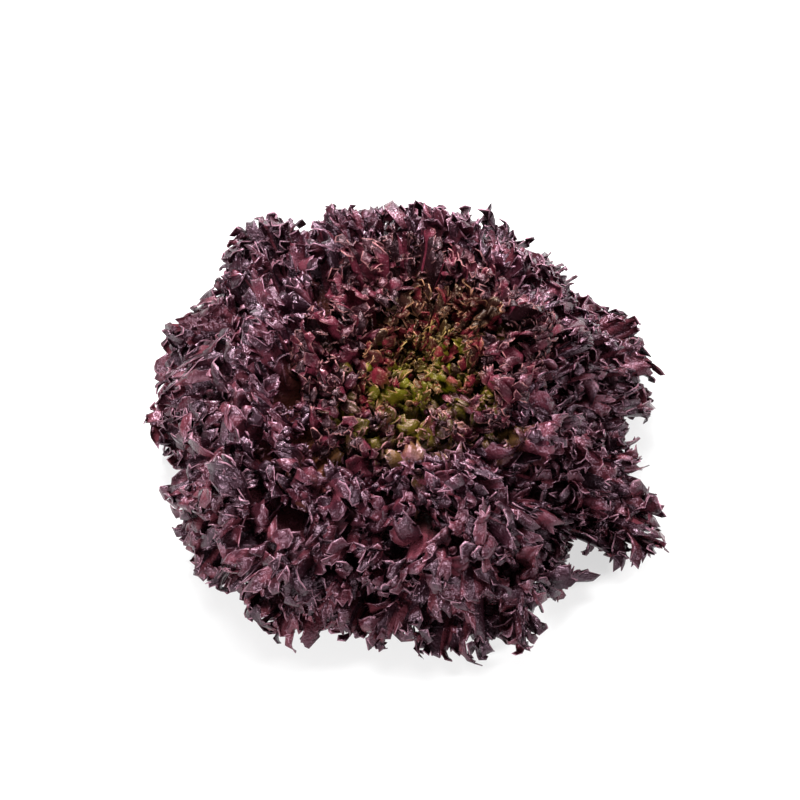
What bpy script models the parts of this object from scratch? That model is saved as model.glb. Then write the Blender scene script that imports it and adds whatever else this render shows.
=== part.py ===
"""A head of red leaf lettuce: a cut stem and the frilled leaves that grow from it in whorls.

Every leaf is a thin blade that lives in a slot of its own. A slot is a narrow cone that opens
from the stem to the outside of the head, so leaves may ruffle as much as their slot allows and
still never cross. All lengths are in metres, +Z is up, and the origin is the middle of the cut
face that the head stands on.
"""

import math

import bpy
import numpy as np

TURN = 2 * math.pi

# The stem: a short butt cut flat at the table, with a dome that the leaves spring from.
STEM_FOOT_RADIUS = 0.0125
STEM_SIDES = 20
LOWEST_LEAF_HEIGHT = 0.0085
CROWN_HEIGHT = 0.018
ROOT_DISTANCE_HEART = 0.0120
ROOT_DISTANCE_OUTER = 0.0150
ROOT_GAP = 0.0004
STEM_ROUNDING = 1.2
STEM_RINGS = 9
SHARP_EDGE = math.radians(40)

# The head: how far its surface is from the stem, by angle from the upright axis.
WIDEST_ANGLE = math.radians(96)
REACH_ANGLES = np.radians([0, 20, 35, 58, 75, 96])
REACH = np.array([0.052, 0.068, 0.083, 0.103, 0.116, 0.124])
BULGES = [
    # azimuth in degrees, share by which the head stands out there, half width in degrees
    (48, -0.10, 17),
    (88, -0.09, 14),
    (116, 0.11, 16),
    (152, -0.05, 14),
    (178, 0.12, 21),
    (198, -0.12, 14),
    (227, 0.21, 28),
    (254, -0.05, 11),
    (276, 0.13, 18),
    (309, -0.17, 13),
    (326, 0.10, 12),
    (355, -0.14, 17),
]
BULGE_START = 0.2
BULGE_FULL = 1.2
ROOT_BEND = 0.75
BEND_DISTANCE = 0.200

# The blades.
BLADE_THICKNESS = 0.00065
ROOT_THICKNESS = 0.0009
MITRE_LIMIT = 1.5
SLOT_CLEARANCE = 0.0009
ROOT_WIDTH = 0.45
FULL_WIDTH = 0.92
FULL_WIDTH_DISTANCE = 0.065
SOFT_SHARE = 0.3
SIDE_ROUNDING = 0.25
RIM_WAVE = 0.035
RIM_SAMPLES = 801
STEP_AHEAD = 0.001

# The folds and the lobes at the rim.
FOLD_SHARE = 0.74
FOLD_START = 0.50
FOLD_FULL = 1.05
FOLD_DRIFT = (0.8, 2.1)
FOLD_LOOP = 0.60
FOLD_DROOP = 0.007
CREST = 0.70
LOBE_CURL = (0.5, 1.1)
LOBE_SWAY = 0.20
LOBE_KNEE = 0.30
LOBE_STRETCH = (0.8, 1.2)
LOBE_WIDTHS = (0.65, 1.35)
LOBE_NOTCHES = (0.50, 0.95)
LOBE_ROUNDNESS = 0.75
CURL_ROUNDNESS = 0.6
LOBE_OVERHANG = 0.6

# The tilt of the top towards the viewer, the stir that breaks up the pattern, and the table that
# the lowest lobes lie flat on.
TILT = 0.28
TILT_SOFTNESS = 0.010
STIRS = [
    # how far the waves move things, their length
    (0.0060, 0.105),
    (0.0024, 0.047),
]
STIR_START = 0.025
STIR_FULL = 0.085
TABLE_CALM = 0.030
TABLE_GAP = 0.0006
TABLE_SOFTNESS = 0.0040

WHORLS = [
    # name, angle from upright, thickness in degrees, leaves, lobes, folds, lobe length, first azimuth
    ("outer", 88.0, 16.0, 12, 22, 4.0, 0.0100, 20),
    ("lower", 72.0, 16.0, 10, 22, 4.0, 0.0100, 50),
    ("upper", 56.0, 16.0, 8, 22, 4.0, 0.0095, 10),
    ("middle", 40.0, 16.0, 6, 20, 3.5, 0.0085, 35),
    ("inner", 24.5, 15.0, 4, 18, 3.0, 0.0070, 0),
    ("heart", 10.5, 13.0, 3, 9, 2.0, 0.0055, 0),
]

LEAF_COLOURS = {
    "outer": (0.052, 0.014, 0.026, 1),
    "lower": (0.060, 0.014, 0.026, 1),
    "upper": (0.060, 0.014, 0.026, 1),
    "middle": (0.075, 0.018, 0.028, 1),
    "inner": (0.110, 0.045, 0.025, 1),
    "heart": (0.170, 0.160, 0.030, 1),
}
STEM_COLOUR = (0.62, 0.60, 0.42, 1)
LEAF_ROUGHNESS = 0.4
STEM_ROUGHNESS = 0.6


def ease(x, start, end):
    """Rises smoothly from 0 at start to 1 at end."""
    t = np.clip((x - start) / (end - start), 0, 1)
    return t * t * (3 - 2 * t)


def stem_height(layer):
    """Height on the stem's axis that a layer's rays start from: the heart highest."""
    return CROWN_HEIGHT - (CROWN_HEIGHT - LOWEST_LEAF_HEIGHT) * (layer / WIDEST_ANGLE) ** STEM_ROUNDING


def root_distance(layer):
    """How far from the axis a layer's blades start, along their ray."""
    return ROOT_DISTANCE_HEART + (ROOT_DISTANCE_OUTER - ROOT_DISTANCE_HEART) * layer / WIDEST_ANGLE


def head_reach(layer, azimuth):
    """Distance from the stem to the outside of the head."""
    reach = np.interp(layer, REACH_ANGLES, REACH)
    low = ease(layer, BULGE_START, BULGE_FULL)
    for centre, share, half_width in BULGES:
        away = (azimuth - math.radians(centre) + math.pi) % TURN - math.pi
        reach = reach * (1 + share * low * np.exp(-((away / math.radians(half_width)) ** 2)))
    return reach


def place(azimuth, layer, distance):
    """A point of the head: it climbs its ray, which starts steep and bends outwards."""
    lean = layer * (ROOT_BEND + (1 - ROOT_BEND) * np.sqrt(ease(distance, 0, BEND_DISTANCE)))
    radius = distance * np.sin(lean)
    height = stem_height(layer) + distance * np.cos(lean)
    return np.stack([radius * np.cos(azimuth), radius * np.sin(azimuth), height], axis=-1)


def tilt(points):
    """Turns the top of the head towards the viewer: points slide forward with height, no nearer the crown."""
    x, y, z = np.moveaxis(points, -1, 0)
    z = z - CROWN_HEIGHT
    away = np.sqrt(x * x + y * y + z * z)
    above = 0.5 * (z + np.sqrt(z * z + TILT_SOFTNESS**2))
    slide = TILT * ease(away, STIR_START, STIR_FULL) * above * above / np.maximum(away, TILT_SOFTNESS)
    y = y - slide
    kept = away / np.sqrt(x * x + y * y + z * z)
    return np.stack([x * kept, y * kept, CROWN_HEIGHT + z * kept], axis=-1)


def stir(points):
    """Stirs all of space by slow waves that never fold it, so that neighbours stay neighbours."""
    for most, length in STIRS:
        x, y, z = np.moveaxis(points, -1, 0)
        wave = TURN / length
        away = np.sqrt(x * x + y * y + (z - CROWN_HEIGHT) ** 2)
        size = most * ease(away, STIR_START, STIR_FULL)
        upright = size * ease(z, 0.0, TABLE_CALM)
        shift = [
            size * (np.sin(wave * y + 1.1) + 0.7 * np.sin(1.37 * wave * z + 0.4)),
            size * (np.sin(wave * z + 2.3) + 0.7 * np.sin(1.21 * wave * x + 1.9)),
            upright * (np.sin(wave * x + 0.2) + 0.7 * np.sin(1.29 * wave * y + 2.7)),
        ]
        points = points + np.stack(shift, axis=-1)
    return points


def settle(points):
    """Lets what would hang below the table lie flat just above it."""
    z = points[..., 2]
    lifted = TABLE_GAP + 0.5 * (z + np.sqrt(z * z + TABLE_SOFTNESS**2))
    return np.concatenate([points[..., :2], lifted[..., None]], axis=-1)


def leaf_slots():
    """One slot for each leaf, whorl by whorl from the table up.

    A slot spans two steps of azimuth, so that each leaf lies half under its neighbour. Across the
    whorl's thickness it is a slanted sliver: full at its middle and nothing at its two ends.
    """
    slots = []
    for name, angle, thickness, count, lobes, folds, lobe_length, first in WHORLS:
        step = TURN / count
        layer = math.radians(angle)
        for i in range(count):
            azimuth = math.radians(first) + i * step
            slots.append(
                {
                    "name": f"{name}_leaf_{i + 1:02d}",
                    "whorl": name,
                    "azimuth": azimuth,
                    "step": step,
                    "layer": layer,
                    "half_layer": math.radians(thickness) / 2,
                    "rim": float(head_reach(layer, azimuth)),
                    "lobes": lobes,
                    "folds": folds,
                    "lobe_length": lobe_length,
                    "seed": len(slots),
                }
            )
    return slots


def growth(slot):
    """The leaf's own chances: how wide, long, curled and swayed each lobe is."""
    chance = np.random.default_rng(slot["seed"])
    count = slot["lobes"]
    widths = chance.uniform(*LOBE_WIDTHS, count)
    return {
        "cuts": np.concatenate([[0], np.cumsum(widths)]) / widths.sum(),
        "curl": chance.uniform(*LOBE_CURL, count),
        "stretch": chance.uniform(*LOBE_STRETCH, count),
        "sway": chance.uniform(-1, 1, count),
        "notch": chance.uniform(*LOBE_NOTCHES, count + 1),
        "phase": chance.uniform(0, TURN),
    }


def keep_within(value, limit):
    """Leaves small values alone and brings large ones smoothly to less than the limit."""
    soft = SOFT_SHARE * limit
    core = limit - soft
    over = np.maximum(np.abs(value) - core, 0)
    return np.sign(value) * (np.minimum(np.abs(value), core) + soft * np.tanh(over / soft))


def half_width(slot):
    """Half the leaf's width at the rim, along the outside of the head."""
    return slot["step"] * math.sin(slot["layer"]) * slot["rim"]


def half_room(slot, across):
    """Half the slot's thickness at the rim: all of it in the middle, nothing at the ends."""
    return slot["half_layer"] * slot["rim"] * (1 - np.abs(across))


def fold_line(slot, phase, across, amount):
    """The leaf's big folds, seen from outside the rim: a winding line along and across the slot.

    The loops swing out to both sides, so the line doubles back a little between them.
    """
    width = half_width(slot)
    length = 2 * width / slot["folds"]
    height = FOLD_SHARE * half_room(slot, across)
    drift, drift_rate = FOLD_DRIFT
    turn = TURN * width * across / length + phase + drift * np.sin(drift_rate * across + phase)
    loop = FOLD_LOOP * length / TURN * (1 - across**4)
    return width * across - amount * loop * np.sin(2 * turn), amount * height * np.sin(turn)


def leaf_points(slot, chances, lobe, up, out):
    """Points of a leaf.

    lobe counts lobes from one side of the leaf to the other: whole numbers are the notches and
    halves are the lobe tips. up is 0 at the root and 1 where the lobes start, and out is 0 there
    and 1 at the rim.
    """
    count = slot["lobes"]
    middles = np.arange(count) + 0.5
    notches = np.arange(count + 1)

    # Where each lobe sits along the winding rim, and which way the rim runs there.
    across_all = np.linspace(-FULL_WIDTH, FULL_WIDTH, RIM_SAMPLES)
    along_all, fold_all = fold_line(slot, chances["phase"], across_all, 1.0)
    rim = np.concatenate([[0], np.cumsum(np.hypot(np.diff(along_all), np.diff(fold_all)))])
    across = np.interp(np.interp(lobe, notches, chances["cuts"]) * rim[-1], rim, across_all)
    amount = ease(up + 0.1 * out, FOLD_START, FOLD_FULL)
    along, fold = fold_line(slot, chances["phase"], across, amount)
    ahead_along, ahead_fold = fold_line(slot, chances["phase"], across + STEP_AHEAD, amount)
    size = np.hypot(ahead_along - along, ahead_fold - fold)
    run_along, run_fold = (ahead_along - along) / size, (ahead_fold - fold) / size

    # Each lobe curls off the blade as an arc: away from a fold's hollow where the rim turns round
    # one, and elsewhere to one side and the other by turns.
    middle_rim = np.interp(middles, notches, chances["cuts"]) * rim[-1]
    middle_room = half_room(slot, np.interp(middle_rim, rim, across_all))
    crest = np.interp(middle_rim, rim, fold_all) / (FOLD_SHARE * middle_room)
    sides = np.where(np.abs(crest) > CREST, np.sign(crest), (-1.0) ** np.arange(count))
    side_of_lobe = sides[np.minimum(lobe, count - 1).astype(int)]
    bulge = np.abs(np.sin(math.pi * lobe))
    notch = np.interp(lobe, notches, chances["notch"])
    stretch = np.interp(lobe, middles, chances["stretch"])
    length = slot["lobe_length"] * stretch * (1 - notch * (1 - bulge**LOBE_ROUNDNESS))
    arc = out * length
    curl = np.interp(lobe, middles, chances["curl"]) * bulge**CURL_ROUNDNESS
    curvature = curl / slot["lobe_length"] + 1e-6
    aside = (1 - np.cos(curvature * arc)) / curvature * side_of_lobe
    climb = np.sin(curvature * arc) / curvature
    lobe_width = rim[-1] / count
    sway = np.interp(lobe, middles, chances["sway"]) * bulge * out * LOBE_SWAY * lobe_width
    along = along + run_along * sway - run_fold * aside
    fold = fold + run_fold * sway + run_along * aside

    # The blade is narrow at its root, and its rim rounds off to both sides.
    rounded = 1 - SIDE_ROUNDING * np.abs(across) ** 3
    outline = rounded * (1 + RIM_WAVE * np.sin(2 * across + 1.7 * chances["phase"]))
    start = root_distance(slot["layer"])
    edge_azimuth = slot["azimuth"] + across * slot["step"]
    edge_layer = slot["layer"] + across * slot["half_layer"]
    blade = head_reach(edge_layer, edge_azimuth) * outline - LOBE_OVERHANG * slot["lobe_length"] - start
    hang = FOLD_DROOP * amount * np.minimum(fold / (slot["half_layer"] * slot["rim"]), 1) ** 2
    distance = start + up * blade + climb - hang
    narrow = ROOT_WIDTH + (1 - ROOT_WIDTH) * ease(distance, 0, FULL_WIDTH_DISTANCE)

    # Both ways off the middle of the slot are kept within it.
    side = keep_within(along / half_width(slot), FULL_WIDTH) * narrow
    room = np.maximum(half_room(slot, side) - SLOT_CLEARANCE, 1e-5)
    layer = slot["layer"] + side * slot["half_layer"] + keep_within(fold, room) / slot["rim"]
    points = place(slot["azimuth"] + side * slot["step"], layer, distance)
    return settle(stir(tilt(points)))


def leaf_rows(slot):
    """Rows of (lobe, up, out) from root to rim: few points on the plain blade, one a lobe above."""
    count = slot["lobes"]
    rows = []
    for up, pieces in ((0.0, 2), (0.50, 5), (0.77, count), (1.0, count)):
        rows.append([(count * i / pieces, up, 0.0) for i in range(pieces + 1)])
    return rows


def strip(lower, upper):
    """Triangles between two rows of point numbers, joined at the nearest share of the way along."""
    faces = []
    i = j = 0
    while i < len(lower) - 1 or j < len(upper) - 1:
        next_lower = (i + 1) / (len(lower) - 1)
        next_upper = (j + 1) / (len(upper) - 1)
        if j == len(upper) - 1 or (i < len(lower) - 1 and next_lower < next_upper - 1e-9):
            faces.append((lower[i], lower[i + 1], upper[j]))
            i += 1
        else:
            faces.append((lower[i], upper[j + 1], upper[j]))
            j += 1
    return faces


def leaf_sheet(slot):
    """Points and triangles of a leaf's middle surface, and how thick the blade is at each point."""
    chances = growth(slot)
    rows = leaf_rows(slot)
    marks = [mark for row in rows for mark in row]
    numbers = []
    for row in rows:
        first = numbers[-1][-1] + 1 if numbers else 0
        numbers.append(list(range(first, first + len(row))))
    faces = []
    for lower, upper in zip(numbers, numbers[1:]):
        faces += strip(lower, upper)
    rim = numbers[-1]
    for k in range(slot["lobes"]):
        tip = len(marks)
        marks += [(k + 0.5, 1.0, 1.0), (k + 0.5, 1.0, LOBE_KNEE)]
        faces += [(rim[k], rim[k + 1], tip + 1), (rim[k + 1], tip, tip + 1), (tip, rim[k], tip + 1)]
    lobe, up, out = np.array(marks).T
    points = leaf_points(slot, chances, lobe, up, out)
    thickness = BLADE_THICKNESS + (ROOT_THICKNESS - BLADE_THICKNESS) * (1 - ease(up, 0.0, 0.6))
    return points, faces, thickness


def material(name, colour, roughness):
    """A plain finish for one kind of piece."""
    made = bpy.data.materials.new(name)
    made.use_nodes = True
    shader = made.node_tree.nodes["Principled BSDF"]
    shader.inputs["Base Color"].default_value = colour
    shader.inputs["Roughness"].default_value = roughness
    return made


def add_object(name, mesh, finish):
    """Puts a mesh in the scene under its piece's name."""
    mesh.materials.append(finish)
    made = bpy.data.objects.new(name, mesh)
    bpy.context.scene.collection.objects.link(made)
    return made


def thickened(points, faces, thickness):
    """A closed blade: both faces, the same triangles on each, and a strip round the edge."""
    faces = np.array(faces)
    corners = points[faces]
    flat = np.cross(corners[:, 1] - corners[:, 0], corners[:, 2] - corners[:, 0])
    flat /= np.linalg.norm(flat, axis=1, keepdims=True)
    ways = np.zeros_like(points)
    for k in range(3):
        arms = corners[:, (k + 1) % 3] - corners[:, k], corners[:, (k + 2) % 3] - corners[:, k]
        cosine = (arms[0] * arms[1]).sum(1) / np.prod(np.linalg.norm(arms, axis=2), axis=0)
        np.add.at(ways, faces[:, k], flat * np.arccos(np.clip(cosine, -1, 1))[:, None])
    ways /= np.linalg.norm(ways, axis=1, keepdims=True)
    agree = np.zeros(len(points))
    meets = np.zeros(len(points))
    for k in range(3):
        np.add.at(agree, faces[:, k], (ways[faces[:, k]] * flat).sum(1))
        np.add.at(meets, faces[:, k], 1)
    mitre = np.minimum(1 / np.maximum(agree / meets, 1e-3), MITRE_LIMIT)
    shift = ways * (mitre * thickness / 2)[:, None]

    edges = {(face[k], face[(k + 1) % 3]) for face in faces.tolist() for k in range(3)}
    rim = sorted(edge for edge in edges if edge[::-1] not in edges)
    under = len(points)
    skin = [tuple(face) for face in faces] + [tuple(face[::-1] + under) for face in faces]
    for a, b in rim:
        skin += [(b, a, a + under), (b, a + under, b + under)]
    return np.concatenate([points + shift, points - shift]), skin


def build_leaf(slot, finish):
    """One leaf: its middle surface, thickened to both sides."""
    points, skin = thickened(*leaf_sheet(slot))
    mesh = bpy.data.meshes.new(slot["name"])
    mesh.from_pydata(points.tolist(), [], [tuple(map(int, face)) for face in skin])
    return add_object(slot["name"], mesh, finish)


def build_stem(finish):
    """The butt: a turned solid whose side follows the leaf roots at a hair's gap."""
    layers = np.linspace(0, WIDEST_ANGLE, STEM_RINGS)
    roots = place(0.0, layers, root_distance(layers) - ROOT_GAP - ROOT_THICKNESS / 2)
    profile = [(0.0, roots[0][2])] + [(p[0], p[2]) for p in roots[1:]] + [(STEM_FOOT_RADIUS, 0.0)]
    points = [(0.0, 0.0, profile[0][1])]
    rings = []
    for radius, height in profile[1:]:
        first = len(points)
        for i in range(STEM_SIDES):
            angle = TURN * i / STEM_SIDES
            points.append((radius * math.cos(angle), radius * math.sin(angle), height))
        rings.append(list(range(first, first + STEM_SIDES)))
    faces = []
    for i in range(STEM_SIDES):
        j = (i + 1) % STEM_SIDES
        faces.append((0, rings[0][i], rings[0][j]))
        for upper, lower in zip(rings, rings[1:]):
            faces.append((upper[i], lower[i], lower[j], upper[j]))
    faces.append(tuple(reversed(rings[-1])))
    mesh = bpy.data.meshes.new("stem")
    mesh.from_pydata(points, [], faces)
    stem = add_object("stem", mesh, finish)
    mesh.shade_smooth()
    mesh.set_sharp_from_angle(angle=SHARP_EDGE)
    return stem


def main():
    for old in list(bpy.data.objects):
        bpy.data.objects.remove(old)
    build_stem(material("cut_stem", STEM_COLOUR, STEM_ROUGHNESS))
    finishes = {name: material(f"{name}_leaf", LEAF_COLOURS[name], LEAF_ROUGHNESS) for name in LEAF_COLOURS}
    for slot in leaf_slots():
        build_leaf(slot, finishes[slot["whorl"]])


main()
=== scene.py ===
# %% [markdown]
# # A head of red leaf lettuce
#
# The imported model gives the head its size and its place: a cut stem and 43 plain, folded leaves.
# On the real head no plain blade shows. Every leaf ends in a long ruffled rim, and curled tongues
# stand off it so closely that together they hide everything below. This script grows that rim on
# each leaf, colours it from green depths to wine-red tips, and lights it like a studio picture.

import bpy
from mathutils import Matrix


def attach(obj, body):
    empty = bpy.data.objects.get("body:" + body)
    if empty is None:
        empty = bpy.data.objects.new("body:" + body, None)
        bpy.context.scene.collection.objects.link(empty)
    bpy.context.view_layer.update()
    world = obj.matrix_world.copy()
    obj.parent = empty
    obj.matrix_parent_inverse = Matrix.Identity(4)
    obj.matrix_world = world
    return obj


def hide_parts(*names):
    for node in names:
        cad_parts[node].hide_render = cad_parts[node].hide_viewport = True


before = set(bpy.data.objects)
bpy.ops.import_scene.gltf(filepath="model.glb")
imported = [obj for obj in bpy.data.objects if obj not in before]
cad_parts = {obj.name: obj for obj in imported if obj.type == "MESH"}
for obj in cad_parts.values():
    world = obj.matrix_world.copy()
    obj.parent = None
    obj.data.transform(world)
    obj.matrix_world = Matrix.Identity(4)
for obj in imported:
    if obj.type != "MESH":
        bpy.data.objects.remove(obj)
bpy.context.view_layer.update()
print("solid leaves:", len(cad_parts) - 1)

# %% The other modules, and two measures
import math

import bpy
import numpy as np
from mathutils import Vector

TURN = 2 * math.pi
MM = 0.001

# %% [markdown]
# ## How the head is laid out
#
# A fine leaf has to lie where its plain solid lies, so it follows the same growth rule. Each leaf
# lives in a slot: a thin slanted cone that opens from the stem to the outside of the head. Points
# are first given as azimuth, layer (the angle from upright) and distance from the stem. Then two
# slow waves stir all of space a little, so that no two leaves look alike and none cross.

# %% The head's outline
LOWEST_LEAF_HEIGHT = 0.0085
CROWN_HEIGHT = 0.018
ROOT_DISTANCE_HEART = 0.0120
ROOT_DISTANCE_OUTER = 0.0150
STEM_ROUNDING = 1.2

WIDEST_ANGLE = math.radians(96)
REACH_ANGLES = np.radians([0, 20, 35, 58, 75, 96])
REACH = np.array([0.052, 0.068, 0.083, 0.103, 0.116, 0.124])
BULGES = [
    # azimuth in degrees, share by which the head stands out there, half width in degrees
    (48, -0.10, 17),
    (88, -0.09, 14),
    (116, 0.11, 16),
    (152, -0.05, 14),
    (178, 0.12, 21),
    (198, -0.12, 14),
    (227, 0.21, 28),
    (254, -0.05, 11),
    (276, 0.13, 18),
    (309, -0.17, 13),
    (326, 0.10, 12),
    (355, -0.14, 17),
]
BULGE_START = 0.2
BULGE_FULL = 1.2


def ease(x, start, end):
    """Rises smoothly from 0 at start to 1 at end: 3 t^2 - 2 t^3."""
    t = np.clip((x - start) / (end - start), 0, 1)
    return t * t * (3 - 2 * t)


def stem_height(layer):
    """Height on the stem's axis that a layer's rays start from: the heart highest."""
    return CROWN_HEIGHT - (CROWN_HEIGHT - LOWEST_LEAF_HEIGHT) * (layer / WIDEST_ANGLE) ** STEM_ROUNDING


def root_distance(layer):
    """How far from the axis a layer's blades start, along their ray."""
    return ROOT_DISTANCE_HEART + (ROOT_DISTANCE_OUTER - ROOT_DISTANCE_HEART) * layer / WIDEST_ANGLE


def head_reach(layer, azimuth):
    """Distance from the stem to the outside of the head: a dome times a bell curve for each bulge."""
    reach = np.interp(layer, REACH_ANGLES, REACH)
    low = ease(layer, BULGE_START, BULGE_FULL)
    for centre, share, half_width in BULGES:
        away = (azimuth - math.radians(centre) + math.pi) % TURN - math.pi
        reach = reach * (1 + share * low * np.exp(-((away / math.radians(half_width)) ** 2)))
    return reach


print("reach in mm, upright and lowest:", [round(head_reach(a, 0.0) / MM) for a in (0.0, WIDEST_ANGLE)])

# %% From slot coordinates to places in space
ROOT_BEND = 0.75
BEND_DISTANCE = 0.200
TILT = 0.28
TILT_SOFTNESS = 0.010
STIRS = [
    # how far the waves move things, their length
    (0.0060, 0.105),
    (0.0024, 0.047),
]
STIR_WAVES = [
    # for x, y and z: axis and phase of the first sine, axis, rate and phase of the second
    (1, 1.1, 2, 1.37, 0.4),
    (2, 2.3, 0, 1.21, 1.9),
    (0, 0.2, 1, 1.29, 2.7),
]
SECOND_SINE = 0.7
STIR_START = 0.025
STIR_FULL = 0.085
TABLE_CALM = 0.030
TABLE_GAP = 0.0006
TABLE_SOFTNESS = 0.0040


def place(azimuth, layer, distance):
    """A point of the head: it climbs its ray, which starts steep and bends outwards."""
    lean = layer * (ROOT_BEND + (1 - ROOT_BEND) * np.sqrt(ease(distance, 0, BEND_DISTANCE)))
    radius = distance * np.sin(lean)
    height = stem_height(layer) + distance * np.cos(lean)
    return np.stack([radius * np.cos(azimuth), radius * np.sin(azimuth), height], axis=-1)


def tilt(points):
    """Turns the top of the head towards the viewer.

    y goes down by TILT * height^2 / distance, then all three are scaled back to the old distance
    from the crown.
    """
    x, y, z = np.moveaxis(points, -1, 0)
    z = z - CROWN_HEIGHT
    away = np.sqrt(x * x + y * y + z * z)
    above = 0.5 * (z + np.sqrt(z * z + TILT_SOFTNESS**2))
    slide = TILT * ease(away, STIR_START, STIR_FULL) * above * above / np.maximum(away, TILT_SOFTNESS)
    y = y - slide
    kept = away / np.sqrt(x * x + y * y + z * z)
    return np.stack([x * kept, y * kept, CROWN_HEIGHT + z * kept], axis=-1)


def stir(points):
    """Moves each point by sums of two sines of its other coordinates, less near stem and table.

    Along one axis the shift is most * (sin(w p + phase) + SECOND_SINE * sin(rate w q + phase)), where
    p and q are the other two coordinates and w is a turn for each wave length.
    """
    for most, length in STIRS:
        x, y, z = np.moveaxis(points, -1, 0)
        wave = TURN / length
        away = np.sqrt(x * x + y * y + (z - CROWN_HEIGHT) ** 2)
        size = most * ease(away, STIR_START, STIR_FULL)
        sizes = (size, size, size * ease(z, 0.0, TABLE_CALM))
        shift = []
        for limit, (p, phase, q, rate, later) in zip(sizes, STIR_WAVES):
            first = np.sin(wave * points[..., p] + phase)
            second = np.sin(rate * wave * points[..., q] + later)
            shift.append(limit * (first + SECOND_SINE * second))
        points = points + np.stack(shift, axis=-1)
    return points


def settle(points):
    """Lets what would hang below the table lie flat above it: half of z plus the root of z^2 + c^2."""
    z = points[..., 2]
    lifted = TABLE_GAP + 0.5 * (z + np.sqrt(z * z + TABLE_SOFTNESS**2))
    return np.concatenate([points[..., :2], lifted[..., None]], axis=-1)


lowest_end = place(0.0, WIDEST_ANGLE, head_reach(WIDEST_ANGLE, 0.0))
print("end of a lowest ray in mm, before the waves:", np.round(lowest_end / MM, 1))

# %% [markdown]
# ## The slots and each leaf's chances
#
# Six whorls of leaves, from the ones that lie on the table to the upright heart. A leaf's lobes
# differ in width and length, by draws that are seeded with the leaf's number, so that the same
# head grows each time.

# %% Six whorls of slots
WHORLS = [
    # name, angle from upright, thickness in degrees, leaves, lobes, folds, lobe length, first azimuth
    ("outer", 88.0, 16.0, 12, 22, 4.0, 0.0100, 20),
    ("lower", 72.0, 16.0, 10, 22, 4.0, 0.0100, 50),
    ("upper", 56.0, 16.0, 8, 22, 4.0, 0.0095, 10),
    ("middle", 40.0, 16.0, 6, 20, 3.5, 0.0085, 35),
    ("inner", 24.5, 15.0, 4, 18, 3.0, 0.0070, 0),
    ("heart", 10.5, 13.0, 3, 9, 2.0, 0.0055, 0),
]
LOBE_WIDTHS = (0.65, 1.35)
SOLID_DRAWS = 4


def leaf_slots():
    """One slot for each leaf, whorl by whorl from the table up, each two steps of azimuth wide."""
    slots = []
    for name, angle, thickness, count, lobes, folds, lobe_length, first in WHORLS:
        step = TURN / count
        layer = math.radians(angle)
        for i in range(count):
            azimuth = math.radians(first) + i * step
            slots.append(
                {
                    "name": f"{name}_leaf_{i + 1:02d}",
                    "whorl": name,
                    "azimuth": azimuth,
                    "step": step,
                    "layer": layer,
                    "half_layer": math.radians(thickness) / 2,
                    "rim": float(head_reach(layer, azimuth)),
                    "lobes": lobes,
                    "folds": folds,
                    "lobe_length": lobe_length,
                    "seed": len(slots),
                }
            )
    return slots


def solid_chances(slot):
    """The draws of the plain solid that the fine leaf shares: where its lobes and its folds are.

    Between the two the solid draws SOLID_DRAWS numbers for each lobe and one more. They shape its
    plain lobes, so they are drawn and left here, and the next draw is the same one as the solid's.
    """
    chance = np.random.default_rng(slot["seed"])
    count = slot["lobes"]
    widths = chance.uniform(*LOBE_WIDTHS, count)
    chance.random(SOLID_DRAWS * count + 1)
    cuts = np.concatenate([[0], np.cumsum(widths)]) / widths.sum()
    return {"cuts": cuts, "phase": chance.uniform(0, TURN)}


SLOTS = leaf_slots()
assert {slot["name"] for slot in SLOTS} | {"stem"} == set(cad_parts)
print("slots:", len(SLOTS))

# %% The winding rim
FULL_WIDTH = 0.92
FOLD_SHARE = 0.74
FOLD_START = 0.50
FOLD_FULL = 1.05
FOLD_DRIFT = (0.8, 2.1)
FOLD_LOOP = 0.60
SOFT_SHARE = 0.3
RIM_SAMPLES = 801
STEP_AHEAD = 0.001


def keep_within(value, limit):
    """Leaves small values alone and brings large ones smoothly to less than the limit, by a tanh."""
    soft = SOFT_SHARE * limit
    core = limit - soft
    over = np.maximum(np.abs(value) - core, 0)
    return np.sign(value) * (np.minimum(np.abs(value), core) + soft * np.tanh(over / soft))


def half_width(slot):
    """Half the leaf's width at the rim, along the outside of the head."""
    return slot["step"] * math.sin(slot["layer"]) * slot["rim"]


def half_room(slot, across):
    """Half the slot's thickness at the rim: all of it in the middle, nothing at the ends."""
    return slot["half_layer"] * slot["rim"] * (1 - np.abs(across))


def fold_line(slot, phase, across, amount):
    """The leaf's big folds seen from outside: a sine that doubles back a little between its loops."""
    width = half_width(slot)
    length = 2 * width / slot["folds"]
    height = FOLD_SHARE * half_room(slot, across)
    drift, drift_rate = FOLD_DRIFT
    turn = TURN * width * across / length + phase + drift * np.sin(drift_rate * across + phase)
    loop = FOLD_LOOP * length / TURN * (1 - across**4)
    return width * across - amount * loop * np.sin(2 * turn), amount * height * np.sin(turn)


def unit(vectors):
    """Vectors of length 1, also where the given ones are almost nothing."""
    return vectors / np.maximum(np.linalg.norm(vectors, axis=-1, keepdims=True), 1e-12)


widths = [round(2 * half_width(SLOTS[i]) / MM) for i in (0, -1)]
print("width of a leaf in mm, outer and heart:", widths)

# %% [markdown]
# ## The fine leaf
#
# The rim of such a leaf is a ruffle on a ruffle on a ruffle. It could be sculpted, or grown by a
# simulation of a sheet that is too long for its place. Here it is worked out in three levels on
# one grid: the folds, which the solid has too, then the lobes as crests on the folds, and then
# three smaller lobes along each, cut into short fingers, which curl off to one side or the other
# as arcs.

# %% Fine draws and the leaf's grid
FINE_SEEDS = 1000
SMALL_LOBES = 3
TAKES_TURNS = 0.75
COLUMNS = 5
BLADE_ROWS = 3
FRILL_ROWS = 5
BLADE_SPACING = 0.7


def small_lobes(slot):
    """How many small lobes a leaf's rim has: three for each lobe of the solid."""
    return slot["lobes"] * SMALL_LOBES


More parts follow.
